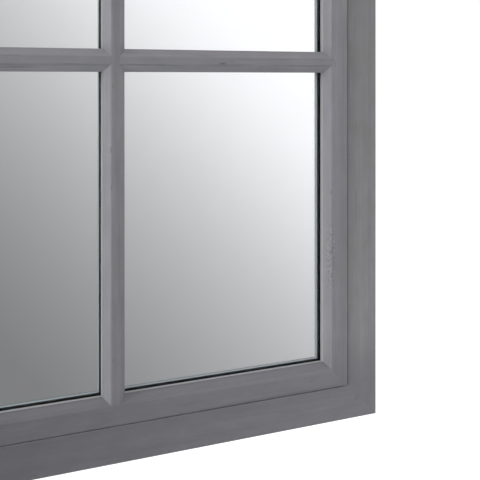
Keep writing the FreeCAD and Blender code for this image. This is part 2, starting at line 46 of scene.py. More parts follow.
# Places of the joinery: most read from the imported solids, a few given.
HALF_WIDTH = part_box("outer_stile_right")[1].x
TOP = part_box("outer_rail_top")[1].z
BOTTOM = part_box("outer_rail_bottom")[0].z
MIDDLE = (TOP + BOTTOM) / 2
HALF_HEIGHT = (TOP - BOTTOM) / 2
BOARD_WIDTH = HALF_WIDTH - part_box("outer_stile_right")[0].x
SIGHT_HALF_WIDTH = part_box("sash_stile_right")[0].x
SIGHT_HALF_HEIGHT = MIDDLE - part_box("sash_rail_bottom")[1].z
SASH_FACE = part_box("sash_stile_right")[0].y
BOARD_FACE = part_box("outer_stile_right")[0].y
GLASS_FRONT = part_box("mirror_pane_middle_centre")[0].y
UPRIGHT_PLACE = sum(corner.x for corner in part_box("upright_bar_right")) / 2
CROSS_PLACE = sum(corner.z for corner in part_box("cross_bar_upper")) / 2 - MIDDLE
BEVEL_RUN = 7.5 * MM
BEVEL_FOOT = SASH_FACE + 6.5 * MM
BAR_HALF_FACE = 4.5 * MM
REBATE_FLOOR = -16 * MM
BACK_FACE = 0


class Wire:
    """One output of a node. Arithmetic on it adds Math nodes."""

    def __init__(self, tree, socket):
        self.tree = tree
        self.socket = socket

    def math(self, operation, *values):
        return self.tree.node("ShaderNodeMath", {"operation": operation}, dict(enumerate(values)))

    def __add__(self, other):
        return self.math("ADD", self, other)

    def __radd__(self, other):
        return self.math("ADD", other, self)

    def __sub__(self, other):
        return self.math("SUBTRACT", self, other)

    def __rsub__(self, other):
        return self.math("SUBTRACT", other, self)

    def __mul__(self, other):
        return self.math("MULTIPLY", self, other)

    def __rmul__(self, other):
        return self.math("MULTIPLY", other, self)

    def __rpow__(self, other):
        return self.math("POWER", other, self)

    def __abs__(self):
        return self.math("ABSOLUTE", self)

    def least(self, other):
        return self.math("MINIMUM", self, other)

    def most(self, other):
        return self.math("MAXIMUM", self, other)


class Tree:
    """A node tree: one method that adds any node, and short names for the common ones."""

    def __init__(self, nodes_tree):
        self.nodes_tree = nodes_tree

    def node(self, kind, settings=None, sockets=None, output=0):
        made = self.nodes_tree.nodes.new(kind)
        for name, value in (settings or {}).items():
            setattr(made, name, value)
        for key, value in (sockets or {}).items():
            self.feed(made.inputs[key], value)
        return Wire(self, made.outputs[output])

    def feed(self, socket, value):
        if isinstance(value, Wire):
            self.nodes_tree.links.new(value.socket, socket)
        else:
            socket.default_value = value

    def place(self):
        return self.node("ShaderNodeTexCoord", output="Object")

    def axes(self, vector):
        parts = self.node("ShaderNodeSeparateXYZ", sockets={0: vector}).socket.node
        return [Wire(self, parts.outputs[name]) for name in "XYZ"]

    def stretched(self, scales, shift=(0, 0, 0)):
        sockets = {"Vector": self.place(), "Scale": scales, "Location": shift}
        return self.node("ShaderNodeMapping", sockets=sockets)

    def noise(self, vector, scale, detail=2, roughness=0.5):
        return self.node("ShaderNodeTexNoise", sockets={
            "Vector": vector, "Scale": scale, "Detail": detail, "Roughness": roughness,
        })

    def ease(self, value, low, high):
        """0 at low and 1 at high, with a soft change between; low may be the larger."""
        return self.node("ShaderNodeMapRange", {"interpolation_type": "SMOOTHSTEP"}, {
            "Value": value, "From Min": low, "From Max": high,
        })

    def mix(self, share, first, second):
        return self.node("ShaderNodeMix", {"data_type": "RGBA"}, {
            "Factor": share, 6: first, 7: second,
        }, output=2)

    def bump(self, height, distance, strength):
        return self.node("ShaderNodeBump", sockets={
            "Height": height, "Distance": distance, "Strength": strength,
        })


class Finish(Tree):
    """A material: its tree, and its Principled shader."""

    def __init__(self, name):
        self.material = bpy.data.materials.new(name)
        self.material.use_nodes = True
        super().__init__(self.material.node_tree)
        self.shader = self.nodes_tree.nodes["Principled BSDF"]

    def set(self, **sockets):
        for name, value in sockets.items():
            self.feed(self.shader.inputs[name.replace("_", " ")], value)
        return self.material


def rgb(red, green, blue):
    return (red, green, blue, 1)


# Colours.
WHITE = rgb(1, 1, 1)
BLACK = rgb(0, 0, 0)
PAINT_COOL = rgb(0.181, 0.185, 0.202)
PAINT_WARM = rgb(0.193, 0.194, 0.205)
PAINT_OLIVE = rgb(0.190, 0.193, 0.196)
# Dark and pale tones of the paint, also laid on as painted shade and painted light.
DARK_PAINT_AND_SHADE = rgb(0.085, 0.085, 0.096)
PALE_PAINT_AND_LIGHT = rgb(0.275, 0.277, 0.295)
# Painted light on the lip towards the glass.
LIP_PAINTED_LIGHT = rgb(0.29, 0.295, 0.3)
# Painted light in the shadow gap between board and sash.
GAP_PAINTED_LIGHT = rgb(0.55, 0.55, 0.57)
# Bluish painted shade at the foot.
FOOT_PAINTED_SHADE = rgb(0.108, 0.113, 0.141)
# Stronger painted light on the sash rails' lip.
RAIL_LIP_PAINTED_LIGHT = rgb(0.46, 0.475, 0.495)
# Black painted shade under a glazed member's lip.
UNDER_LIP_PAINTED_SHADE = rgb(0.014, 0.014, 0.016)
RAW_WOOD = rgb(0.52, 0.37, 0.22)
RAW_WOOD_DARK = rgb(0.33, 0.21, 0.115)
SEAM_BROWN = rgb(0.06, 0.035, 0.02)
SILVER = rgb(0.965, 0.948, 0.958)
SILVER_HAZE = rgb(0.95, 0.933, 0.943)
GLASS_TINT = rgb(0.89, 0.98, 0.985)
GLASS_HAZE = rgb(0.885, 0.976, 0.983)
FIBRE_DARK = rgb(0.19, 0.11, 0.06)
FIBRE_PALE = rgb(0.31, 0.2, 0.12)
FIBRE_CLOUD = rgb(0.24, 0.15, 0.085)
FIBRE_SPECK = rgb(0.08, 0.045, 0.025)
SCREW_ZINC = rgb(0.62, 0.61, 0.58)
HANGER_ZINC = rgb(0.66, 0.66, 0.66)
ZINC_DULL = rgb(0.42, 0.425, 0.43)
RUBBER_BLACK = rgb(0.018, 0.018, 0.019)
RUBBER_DUST = rgb(0.05, 0.05, 0.05)

# Painted shade and light by height above the bottom: painted shade at the foot, darker still away from
# the sides, and the rise above it, painted light where rise is positive and painted shade where negative.
FOOT_FULL = BOTTOM + 0.03
FOOT_END = BOTTOM + 0.11
FOOT_DARK = 0.2
FOOT_SIDE = 0.37
RISE_START = BOTTOM + 0.1
RISE_END = BOTTOM + 0.42
BLOTCHES = 0.3
GRAIN_DEPTH = 0.3 * MM


class Paint(Finish):
    """Grey paint on a wooden member with its grain along one axis.

    Each method from brush to let_in lays one more look over the tone, painted light and painted shade among
    them;
    done closes it with the member's back.
    """

    def __init__(self, name, along):
        super().__init__(name)
        self.along = along
        self.x, self.y, self.z = self.axes(self.place())
        self.across_half = abs(self.x)
        above = self.z - MIDDLE
        self.up_half = abs(above)
        self.below_cross = above.math("SIGN", above) * CROSS_PLACE - above
        to_side = HALF_WIDTH - self.across_half
        to_end = HALF_HEIGHT - self.up_half
        self.to_outside = to_side.least(to_end)
        self.seam = self.ease(abs(to_side - to_end), 0.5 * MM, 0.15 * MM)
        self.bevel = self.ease(self.y, SASH_FACE - 0.1 * MM, SASH_FACE + 0.7 * MM)
        grain_place = self.with_grain(0.022)
        self.bands = self.noise(grain_place, 110, detail=3, roughness=0.55)
        self.streaks = self.noise(grain_place, 480, detail=4, roughness=0.65)
        self.fine = self.noise(grain_place, 1700)
        self.clouds = self.noise(self.place(), 30, detail=4, roughness=0.6)

    def with_grain(self, share, shift=(0, 0, 0)):
        """Places shortened along the grain, so that noise is drawn out along it."""
        return self.stretched([share if axis == self.along else 1 for axis in "XYZ"], shift)

    def lay(self, share, colour):
        self.tone = self.mix(share, self.tone, colour)

    def brush(self, hues=(PAINT_COOL, PAINT_WARM), grain=1, crack_share=0.15):
        """Brush marks over the grain, with pores, small marks and cracks."""
        pores = self.ease(self.fine, 0.64, 0.74)
        mark_place = self.with_grain(0.3, (0.37, 0.11, 0.23))
        marks = self.ease(self.noise(mark_place, 210, detail=1), 0.77, 0.81)
        patch_place = self.with_grain(0.12, (0.71, 0.33, 0.19))
        cracked = self.ease(self.noise(patch_place, 26, detail=1), 0.53, 0.63)
        crack_place = self.with_grain(0.012, (0.21, 0.43, 0.57))
        cracks = self.ease(abs(self.noise(crack_place, 170, detail=1) - 0.5), 0.035, 0.008) * cracked
        self.tone = self.mix(self.ease(self.clouds, 0.35, 0.65), *hues)
        self.lay(self.ease(self.bands, 0.5, 0.22) * (0.3 * grain), DARK_PAINT_AND_SHADE)
        self.lay(self.ease(self.bands, 0.52, 0.8) * (0.28 * grain), PALE_PAINT_AND_LIGHT)
        self.lay(self.ease(self.streaks, 0.46, 0.2) * (0.42 * grain), DARK_PAINT_AND_SHADE)
        self.lay(self.ease(self.streaks, 0.54, 0.8) * (0.3 * grain), PALE_PAINT_AND_LIGHT)
        self.lay(pores * 0.25, DARK_PAINT_AND_SHADE)
        self.lay(cracks * crack_share, DARK_PAINT_AND_SHADE)
        self.lay(marks * 0.45, DARK_PAINT_AND_SHADE)
        self.hollows = marks * 0.8 + pores * 0.3 + cracks * (1.4 * crack_share)
        return self

    def shade(self, strength=1, rise=0, foot_share=1, under_lift=0, bevel_lift=0, left_lift=0,
              corner_shade=0):
        """Painted light and shade by place: by height, on the bevels, and over the whole member.

        strength darkens the whole member as painted shade, rise paints light upwards (painted shade where it
        is negative), and foot_share sets the painted shade at the foot; under_lift paints light on the bevel
        under a cross bar, bevel_lift on both bevels of an upright and left_lift on its left one; corner_shade
        paints shade on bevels just above a cross bar. The blotches are the paint's own.
        """
        # Painted shade towards the foot.
        low = self.ease(self.z, FOOT_END, FOOT_FULL)
        blotches = self.noise(self.with_grain(0.4, (0.83, 0.07, 0.61)), 75, detail=3, roughness=0.6)
        # Painted shade over the whole member by strength, and at the foot.
        shade = strength - low * foot_share * (FOOT_DARK + (FOOT_SIDE - self.across_half).most(0))
        # Painted light rising up the member, painted shade where rise is negative; the blotches are the
        # paint's own.
        shade = shade + rise * self.ease(self.z, RISE_START, RISE_END) + (blotches - 0.5) * BLOTCHES
        # Painted light on the bevel under a cross bar.
        if under_lift:
            under = self.ease(self.below_cross, BAR_HALF_FACE - 0.3 * MM, BAR_HALF_FACE + 0.7 * MM)
            shade = shade + under * under_lift
        # Painted shade on the bevels just above a cross bar.
        if corner_shade:
            corner = self.ease(self.below_cross, -22 * MM, -8 * MM) * self.ease(self.below_cross, 1 * MM, 0)
            shade = shade - corner * self.bevel * corner_shade
        # Painted light on an upright's bevels, more on its left one.
        if bevel_lift:
            left = self.ease(self.x.math("SIGN", self.x) * UPRIGHT_PLACE - self.x, 0, BAR_HALF_FACE)
            shade = shade + self.bevel * bevel_lift + left * self.bevel * left_lift
        self.tone = self.node("ShaderNodeVectorMath", {"operation": "SCALE"}, {0: self.tone, "Scale": shade})
        # Bluish painted shade at the foot.
        self.lay(low * 0.3, FOOT_PAINTED_SHADE)
        return self

    def wear_and_painted_light(self, edges, share=0.07, pitted=None):
        """Creases rubbed pale, and pitted paint on the crease around one place."""
        edge = edges(self.across_half, self.up_half)
        self.lay(self.ease(edge, 1.6 * MM, 0.3 * MM) * share, PALE_PAINT_AND_LIGHT)
        if pitted:
            pit_x, pit_z = pitted
            patch = self.ease(abs(self.z - pit_z) + (self.clouds - 0.5) * 0.03, 0.045, 0.025)
            patch = patch * self.ease(abs(self.x - pit_x), 0.2, 0.1) * self.ease(edge, 6 * MM, 3 * MM)
            speckle = self.noise(self.place(), 430, roughness=0.7)
            pits = self.ease(speckle, 0.53, 0.6) * patch
            self.lay(pits * 0.45, DARK_PAINT_AND_SHADE)
            self.lay(self.ease(speckle, 0.47, 0.4) * patch * 0.3, PALE_PAINT_AND_LIGHT)
            self.hollows = self.hollows + pits * 0.9
        return self

    def lower_crease_shade(self):
        """Painted shade in a wavering line along a cross bar's lower crease."""
        line_place = self.stretched([1, 0.01, 0.01], (0.17, 0.37, 0.29))
        waver = (self.noise(line_place, 14, detail=1) - 0.5) * (2 * MM)
        line = self.ease(abs(self.below_cross - BAR_HALF_FACE + waver), 1 * MM, 0.2 * MM)
        # Painted shade along the lower crease.
        self.lay(line * self.ease(self.noise(line_place, 23), 0.38, 0.62) * 0.55, DARK_PAINT_AND_SHADE)
        return self

    def joint(self, joint_shade=0, wear_and_painted_light=0):
        """The shadow gap between board and sash, with painted shade and painted light along it and painted
        light inside it, and painted shade on the outer edge.
        """
        to_joint = abs(self.to_outside - BOARD_WIDTH)
        along_joint = self.ease(to_joint, 3 * MM, 0.9 * MM)
        # Painted shade along the joint.
        self.lay(along_joint * joint_shade, DARK_PAINT_AND_SHADE)
        # Painted light along the joint.
        self.lay(along_joint * wear_and_painted_light, PALE_PAINT_AND_LIGHT)
        past_face = self.ease(self.y, BOARD_FACE + 0.2 * MM, BOARD_FACE + 0.7 * MM)
        # Painted light inside the shadow gap.
        self.lay(self.ease(to_joint, 1.1 * MM, 0.8 * MM) * past_face, GAP_PAINTED_LIGHT)
        # Painted shade on the outer edges and the outer sides.
        self.lay(self.ease(self.to_outside, 1.3 * MM, 0.4 * MM) * 0.35, DARK_PAINT_AND_SHADE)
        return self

    def spot(self, spots):
        """Dark spots: place across and up, half width and half height, share of dark."""
        for place_x, place_z, half_x, half_z, share in spots:
            off_x = (self.x - place_x) * (1 / half_x)
            off_z = (self.z - place_z) * (1 / half_z)
            ragged = off_x * off_x + off_z * off_z + (self.streaks - 0.5) * 2
            self.lay(self.ease(ragged, 1.1, 0.3) * share, DARK_PAINT_AND_SHADE)
        return self

    def lip(self, colour=LIP_PAINTED_LIGHT, start=0, low_bevel_shade=0):
        """Painted light on the lip towards the glass, and painted shade on the bevels in the lower half."""
        # Painted shade on the bevels in the lower half.
        self.lay(self.bevel * low_bevel_shade * self.ease(self.z, MIDDLE, MIDDLE - 0.3), DARK_PAINT_AND_SHADE)
        lip_top = BEVEL_FOOT + start
        # Painted light on the lip towards the glass.
        self.lay(self.ease(self.y, lip_top - 0.3 * MM, lip_top + 0.8 * MM) * 0.7, colour)
        return self

    def mitre(self):
        """The hairline of the mitred corners."""
        self.lay(self.seam * 0.13, DARK_PAINT_AND_SHADE)
        return self

    def let_in(self, from_joint):
        """A slanting mark in the paint past each bar end."""
        past_crease, from_bar = from_joint(self.across_half, self.up_half)
        off_mark = abs(past_crease - from_bar * 0.35 - 3.6 * MM + (self.clouds - 0.5) * (3 * MM))
        mark = self.ease(off_mark, 1 * MM, 0.3 * MM) * self.ease(abs(from_bar), 7 * MM, 4 * MM)
        self.lay(mark * 0.4, DARK_PAINT_AND_SHADE)
        return self

    def done(self, glazed=True):
        """Black painted shade under a glazed member's lip, and raw wood with a little overspray behind."""
        behind = self.ease(self.y, REBATE_FLOOR - 0.5 * MM, REBATE_FLOOR - 0.2 * MM)
        if glazed:
            # Black painted shade under the lip.
            under_lip = self.ease(self.y, GLASS_FRONT - 1 * MM, GLASS_FRONT - 0.7 * MM)
            self.lay(under_lip * (1 - behind), UNDER_LIP_PAINTED_SHADE)
        overspray = self.ease(self.to_outside + self.clouds * (6 * MM), 7 * MM, 5 * MM)
        raw = behind * (1 - overspray)
        wood = self.mix(self.ease(self.streaks, 0.3, 0.7), RAW_WOOD_DARK, RAW_WOOD)
        wood = self.mix(self.seam * 0.8, wood, SEAM_BROWN)
        self.lay(raw, wood)
        height = self.streaks * 0.55 + self.bands * 0.3 + self.fine * 0.25 - self.hollows
        return self.set(
            Base_Color=self.tone,
            Roughness=0.48 + self.ease(self.clouds, 0.3, 0.7) * 0.14 + raw * 0.25,
            Normal=self.bump(height, GRAIN_DEPTH, 0.5),
        )


# Distance from the nearest crease or joint, for each kind of member.
def board_edges(across_half, up_half):
    return abs((HALF_WIDTH - across_half).least(HALF_HEIGHT - up_half) - BOARD_WIDTH)


def sash_edges(across_half, up_half):
    inside = (across_half - SIGHT_HALF_WIDTH).most(up_half - SIGHT_HALF_HEIGHT)
    return abs(inside - BEVEL_RUN)


def upright_edges(across_half, up_half):
    return abs(abs(across_half - UPRIGHT_PLACE) - BAR_HALF_FACE)


def cross_edges(across_half, up_half):
    return abs(abs(up_half - CROSS_PLACE) - BAR_HALF_FACE)


# How far past the sash's crease, and how far from the middle of the bar that is let in there.
def into_stile(across_half, up_half):
    return across_half - SIGHT_HALF_WIDTH - BEVEL_RUN, up_half - CROSS_PLACE


def into_rail(across_half, up_half):
    return up_half - SIGHT_HALF_HEIGHT - BEVEL_RUN, across_half - UPRIGHT_PLACE


# Materials of the other pieces.
def silvering():
    finish = Finish("silvering")
    haze = finish.noise(finish.place(), 40)
    return finish.set(
        Base_Color=finish.mix(haze, SILVER, SILVER_HAZE),
        Metallic=1,
        Roughness=0.01 + haze * 0.01,
    )


def clear_glass():
    finish = Finish("clear_glass")
    haze = finish.noise(finish.place(), 15)
    return finish.set(
        Base_Color=finish.mix(haze, GLASS_TINT, GLASS_HAZE),
        Roughness=0,
        IOR=1.5,
        Transmission_Weight=1,
    )


def hardboard():
    finish = Finish("hardboard")
    fibre = finish.noise(finish.place(), 900, detail=4, roughness=0.7)
    clouds = finish.noise(finish.place(), 14, detail=3)
    specks = finish.ease(finish.noise(finish.place(), 420, detail=1), 0.68, 0.75)
    tone = finish.mix(finish.ease(fibre, 0.3, 0.7), FIBRE_DARK, FIBRE_PALE)
    tone = finish.mix(finish.ease(clouds, 0.35, 0.7) * 0.4, tone, FIBRE_CLOUD)
    tone = finish.mix(specks * 0.6, tone, FIBRE_SPECK)
    return finish.set(
        Base_Color=tone,
        Roughness=0.62 + fibre * 0.2,
        Normal=finish.bump(fibre, 0.2 * MM, 0.4),
    )


def bare_wood():
    finish = Finish("bare_wood")
    grain = finish.noise(finish.stretched((1, 1, 0.05)), 600, detail=3)
    return finish.set(
        Base_Color=finish.mix(grain, RAW_WOOD_DARK, RAW_WOOD),
        Roughness=0.7 + grain * 0.1,
        Normal=finish.bump(grain, 0.15 * MM, 0.4),
    )


def zinc(name, tint):
    finish = Finish(name)
    spangle = finish.noise(finish.place(), 700, detail=3)
    rub = finish.noise(finish.place(), 160, detail=4)
    return finish.set(
        Base_Color=finish.mix(finish.ease(rub, 0.4, 0.7), tint, ZINC_DULL),
        Metallic=1,
        Roughness=0.28 + finish.ease(rub, 0.3, 0.7) * 0.22,
        Normal=finish.bump(spangle, 0.05 * MM, 0.3),
    )


def rubber():
    finish = Finish("bumper_rubber")
    dust = finish.noise(finish.place(), 240, detail=4)
    return finish.set(
        Base_Color=finish.mix(finish.ease(dust, 0.45, 0.75), RUBBER_BLACK, RUBBER_DUST),
        Roughness=0.6 + dust * 0.25,
        Normal=finish.bump(dust, 0.1 * MM, 0.4),
    )


# New pieces.
NEAR = 0.02 * MM
WELD = NEAR / 4


def linked(name, mesh_tool, material):
    """A new object in the scene, from a bmesh."""
    mesh = bpy.data.meshes.new(name)
    mesh_tool.to_mesh(mesh)
    mesh_tool.free()
    mesh.materials.append(material)
    thing = bpy.data.objects.new(name, mesh)
    bpy.context.scene.collection.objects.link(thing)
    return thing


def give(node, material):
    """Makes a material the only one of a node."""
    nodes[node].data.materials.clear()
    nodes[node].data.materials.append(material)


def piece(name, mesh_tool, material, stands_for=None, body="frame"):
    """Turns a bmesh into a finished piece that rides on a body, in place of a node where one is named."""
    thing = linked(name, mesh_tool, material)
    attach(thing, body)
    if stands_for:
        give(stands_for, material)
        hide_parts(stands_for)


def welded(node):
    """A node's mesh as a bmesh, with its doubled corners joined."""
    tool = bmesh.new()
    tool.from_mesh(nodes[node].data)
    bmesh.ops.remove_doubles(tool, verts=tool.verts, dist=WELD)
    return tool


def joined_faces(tool, degrees):
    """Joins faces that lie flat against each other."""
    bmesh.ops.dissolve_limit(tool, angle_limit=math.radians(degrees), verts=tool.verts, edges=tool.edges)


def bends_out(edge, degrees):
    return len(edge.link_faces) == 2 and edge.calc_face_angle_signed() > math.radians(degrees)


def ease_edges(tool, edges, offset, segments):
    bmesh.ops.bevel(tool, geom=edges, offset=offset, offset_type="OFFSET", affect="EDGES",
                    segments=segments, profile=0.5, material=-1, clamp_overlap=True)


# Wooden members.
EASED_LEVELS = (SASH_FACE, BEVEL_FOOT, GLASS_FRONT, BACK_FACE)
EASING = 1 * MM


def eased_member(node, along, material):
    """A wooden member with its bevel's creases softened, as sanding and paint leave them."""
    tool = welded(node)
    joined_faces(tool, 1)
    direction = Vector([axis == along for axis in "XYZ"])
    creases = []
    for edge in tool.edges:
        first, last = (vert.co for vert in edge.verts)
        run = last - first
        straight = abs(run.dot(direction)) > run.length - NEAR
        level = any(abs(first.y - depth) < NEAR and abs(last.y - depth) < NEAR for depth in EASED_LEVELS)
        if straight and level and run.length > BEVEL_RUN / 2 and bends_out(edge, 20):
            creases.append(edge)
    ease_edges(tool, creases, EASING, segments=4)
    piece(f"{node}_painted", tool, material, stands_for=node)


MITRE_SPOTS = ((0.4231, -1.1598, 4 * MM, 5 * MM, 0.22), (0.4323, -1.1415, 7 * MM, 2.5 * MM, 0.15))
NICKS = ((0.1262, -0.8577, 0.9 * MM, 4 * MM, 0.5), (0.1266, -0.8969, 0.8 * MM, 3 * MM, 0.45))
KNOT_AND_CRACK = ((0.2513, -0.7674, 5 * MM, 1.2 * MM, 0.8), (0.2302, -0.7594, 16 * MM, 0.6 * MM, 0.5),
                  (0.262, -0.7652, 3 * MM, 2.2 * MM, 0.25), (0.21, -0.763, 12 * MM, 0.5 * MM, 0.25))
WORN_CREASE = (0.388, -0.99)

board_stile_paint = Paint("paint_on_outer_stiles", "Z").brush(hues=(PAINT_WARM, PAINT_OLIVE))
board_stile_paint.shade(0.98, rise=-0.1).wear_and_painted_light(board_edges).joint(joint_shade=0.3).spot(MITRE_SPOTS).mitre()

board_rail_paint = Paint("paint_on_outer_rails", "X").brush(grain=0.65)
board_rail_paint.shade().wear_and_painted_light(board_edges).joint(wear_and_painted_light=0.3).spot(MITRE_SPOTS).mitre()

sash_stile_paint = Paint("paint_on_sash_stiles", "Z").brush()
sash_stile_paint.shade(0.925, rise=0.045, corner_shade=0.16).wear_and_painted_light(sash_edges, pitted=WORN_CREASE)
sash_stile_paint.joint(joint_shade=0.2).lip().mitre().let_in(into_stile)

sash_rail_paint = Paint("paint_on_sash_rails", "X").brush(crack_share=0.3)
sash_rail_paint.shade().wear_and_painted_light(sash_edges, share=0.01).joint()
sash_rail_paint.lip(RAIL_LIP_PAINTED_LIGHT, start=2 * MM, low_bevel_shade=0.3).mitre().let_in(into_rail)

upright_paint = Paint("paint_on_upright_bars", "Z").brush()
upright_paint.shade(0.785, rise=0.18, foot_share=0.2, bevel_lift=0.05, left_lift=0.07, corner_shade=0.2)
upright_paint.wear_and_painted_light(upright_edges).joint().spot(NICKS).lip().mitre()

cross_paint = Paint("paint_on_cross_bars", "X").brush(crack_share=0.6)
cross_paint.shade(0.97, under_lift=0.12).wear_and_painted_light(cross_edges).lower_crease_shade().joint().spot(KNOT_AND_CRACK).lip().mitre()

boards = {"Z": board_stile_paint.done(glazed=False), "X": board_rail_paint.done(glazed=False)}
sashes = {"Z": sash_stile_paint.done(), "X": sash_rail_paint.done()}
for name, along in (("stile_left", "Z"), ("stile_right", "Z"), ("rail_top", "X"), ("rail_bottom", "X")):
    eased_member(f"outer_{name}", along, boards[along])
    eased_member(f"sash_{name}", along, sashes[along])
upright_bars = upright_paint.done()
for side in ("left", "right"):
    eased_member(f"upright_bar_{side}", "Z", upright_bars)
cross_bars = cross_paint.done()
for side in ("lower", "upper"):
    eased_member(f"cross_bar_{side}", "X", cross_bars)

# Panes: clear glass, and the silvering as a plate between the glass and the pane's back.
GLASS_PLAY = 0.4 * MM
GROUND_ARRIS = 0.5 * MM
SILVER_THICKNESS = 0.12 * MM
GLASS_BACK = SILVER_THICKNESS * 2
SILVER_FRONT = SILVER_THICKNESS * 1.6
SILVER_BACK = SILVER_THICKNESS * 0.6


def block(low, high):
    """A bmesh box between two corners."""
    tool = bmesh.new()
    bmesh.ops.create_cube(tool, size=1)
    bmesh.ops.scale(tool, vec=high - low, verts=tool.verts)
    bmesh.ops.translate(tool, vec=(low + high) / 2, verts=tool.verts)
    return tool


glass = clear_glass()
silver = silvering()
for row in ("bottom", "middle", "top"):
    for column in ("left", "centre", "right"):
        pane = f"mirror_pane_{row}_{column}"
        low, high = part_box(pane)
        slab = block(low + Vector((0, GLASS_PLAY, 0)), high - Vector((0, GLASS_BACK, 0)))
        ease_edges(slab, slab.edges, GROUND_ARRIS, segments=1)
        piece(f"glass_{row}_{column}", slab, glass, stands_for=pane)
        coat_low = Vector((low.x, high.y - SILVER_FRONT, low.z))
        coat_high = Vector((high.x, high.y - SILVER_BACK, high.z))
        piece(f"silvering_{row}_{column}", block(coat_low, coat_high), silver)

# Screws.
SCREW_HEAD = 3.5 * MM
SCREW_SHANK = 1.75 * MM
SCREW_TIP = 3 * MM
HEAD_FLAT = SCREW_HEAD - 0.45 * MM
HEAD_RIM = 0.2 * MM
PAN_HEIGHT = 2.2 * MM
PAN_FLAT = 2.1 * MM
PAN_RIM = 0.9 * MM
PAN_BEND = (0, 22.5, 45, 67.5, 90)
TURN_STEPS = 32
SCREW_TURN = 0.83
SMOOTH_LIMIT = math.radians(25)
# Reach of the cross recess in each head; its arms' half width, its foot and its depth are shares of that.
COUNTERSUNK_RECESS = 2 * MM
PAN_RECESS = 1.8 * MM
RECESS_ARM = 0.27
RECESS_FOOT = 0.45
RECESS_DEPTH = 0.75


def islands(node):
    """Lowest and highest corner of every solid in a node, in a fixed order."""
    tool = welded(node)
    waiting = set(tool.verts)
    boxes = []
    while waiting:
        front = [waiting.pop()]
        places = []
        while front:
            vert = front.pop()
            places.append(tuple(vert.co))
            neighbours = {edge.other_vert(vert) for edge in vert.link_edges} & waiting
            waiting -= neighbours
            front.extend(neighbours)
        boxes.append((Vector(map(min, zip(*places))), Vector(map(max, zip(*places)))))
    tool.free()
    return sorted(boxes, key=lambda box: tuple(box[0]))


def screw(profile, reach):
    """A screw along Y: a turned profile, closed at its head by a disc with a cross recess."""
    tool = bmesh.new()
    verts = [tool.verts.new((radius, level, 0)) for radius, level in profile]
    edges = [tool.edges.new(pair) for pair in zip(verts, verts[1:])]
    bmesh.ops.spin(tool, geom=verts + edges, cent=(0, 0, 0), axis=(0, 1, 0), angle=math.tau,
                   steps=TURN_STEPS, use_merge=True)
    bmesh.ops.remove_doubles(tool, verts=tool.verts, dist=WELD)
    rim = [edge for edge in tool.edges if edge.is_boundary]
    half = reach * RECESS_ARM
    quarter = ((reach, -half), (reach, half), (half, half))
    turns = ((1, 0), (0, 1), (-1, 0), (0, -1))
    cross = [
        tool.verts.new((x * cosine - z * sine, profile[0][1], x * sine + z * cosine))
        for cosine, sine in turns for x, z in quarter
    ]
    outline = [tool.edges.new(pair) for pair in zip(cross, cross[1:] + cross[:1])]
    bmesh.ops.triangle_fill(tool, edges=rim + outline, use_beauty=True)
    walls = bmesh.ops.extrude_edge_only(tool, edges=outline)["geom"]
    low_verts = [part for part in walls if isinstance(part, bmesh.types.BMVert)]
    low_edges = [part for part in walls if isinstance(part, bmesh.types.BMEdge)]
    bmesh.ops.scale(tool, vec=(RECESS_FOOT, 1, RECESS_FOOT), verts=low_verts)
    bmesh.ops.translate(tool, vec=(0, -reach * RECESS_DEPTH, 0), verts=low_verts)
    bmesh.ops.edgeloop_fill(tool, edges=[edge for edge in low_edges if edge.is_boundary])
    bmesh.ops.recalc_face_normals(tool, faces=tool.faces)
    return tool


def shade_smooth(tool):
    """Smooth shading, apart from the sharp edges."""
    for face in tool.faces:
        face.smooth = True
    for edge in tool.edges:
        edge.smooth = len(edge.link_faces) == 2 and edge.calc_face_angle() < SMOOTH_LIMIT


def screws(node, profile, head_height, reach, material):
    """All the screws of a node, each driven home at its own turn of the recess."""
    pattern = screw(profile, reach)
    shade_smooth(pattern)
    mesh = bpy.data.meshes.new("screw_pattern")
    pattern.to_mesh(mesh)
    pattern.free()
    tool = bmesh.new()
    for index, (low, high) in enumerate(islands(node)):
        count = len(tool.verts)
        tool.from_mesh(mesh)
        tool.verts.ensure_lookup_table()
        verts = tool.verts[count:]
        middle = (low + high) / 2
        bmesh.ops.rotate(tool, matrix=Matrix.Rotation(index * SCREW_TURN, 3, "Y"), verts=verts)
        bmesh.ops.translate(tool, vec=(middle.x, high.y - head_height, middle.z), verts=verts)
    bpy.data.meshes.remove(mesh)
    piece(f"{node}_turned", tool, material, stands_for=node)


# Radius and level of a screw's outline, from head to point.
# Level 0 is the top of a countersunk head and the underside of a pan head.
def countersunk(length):
    return [
        (HEAD_FLAT, 0), (SCREW_HEAD, -HEAD_RIM), (SCREW_SHANK, -HEAD_RIM - SCREW_HEAD + SCREW_SHANK),
        (SCREW_SHANK, SCREW_TIP - length), (0, -length),
    ]


def pan_head(length):
    outline = []
    for angle in map(math.radians, PAN_BEND):
        radius = PAN_FLAT + (SCREW_HEAD - PAN_FLAT) * math.sin(angle)
        outline.append((radius, PAN_RIM + (PAN_HEIGHT - PAN_RIM) * math.cos(angle)))
    outline += [(SCREW_HEAD, 0), (SCREW_SHANK, 0), (SCREW_SHANK, SCREW_TIP - length), (0, -length)]
    return outline


screw_zinc = zinc("zinc_screws", SCREW_ZINC)
for node, outline, head_height, reach in (
    ("back_board_screws", countersunk, 0, COUNTERSUNK_RECESS),
    ("sash_screws", countersunk, 0, COUNTERSUNK_RECESS),
    ("hanger_screws", pan_head, PAN_HEIGHT, PAN_RECESS),
):
    low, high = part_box(node)
    screws(node, outline(high.y - low.y - head_height), head_height, reach, screw_zinc)

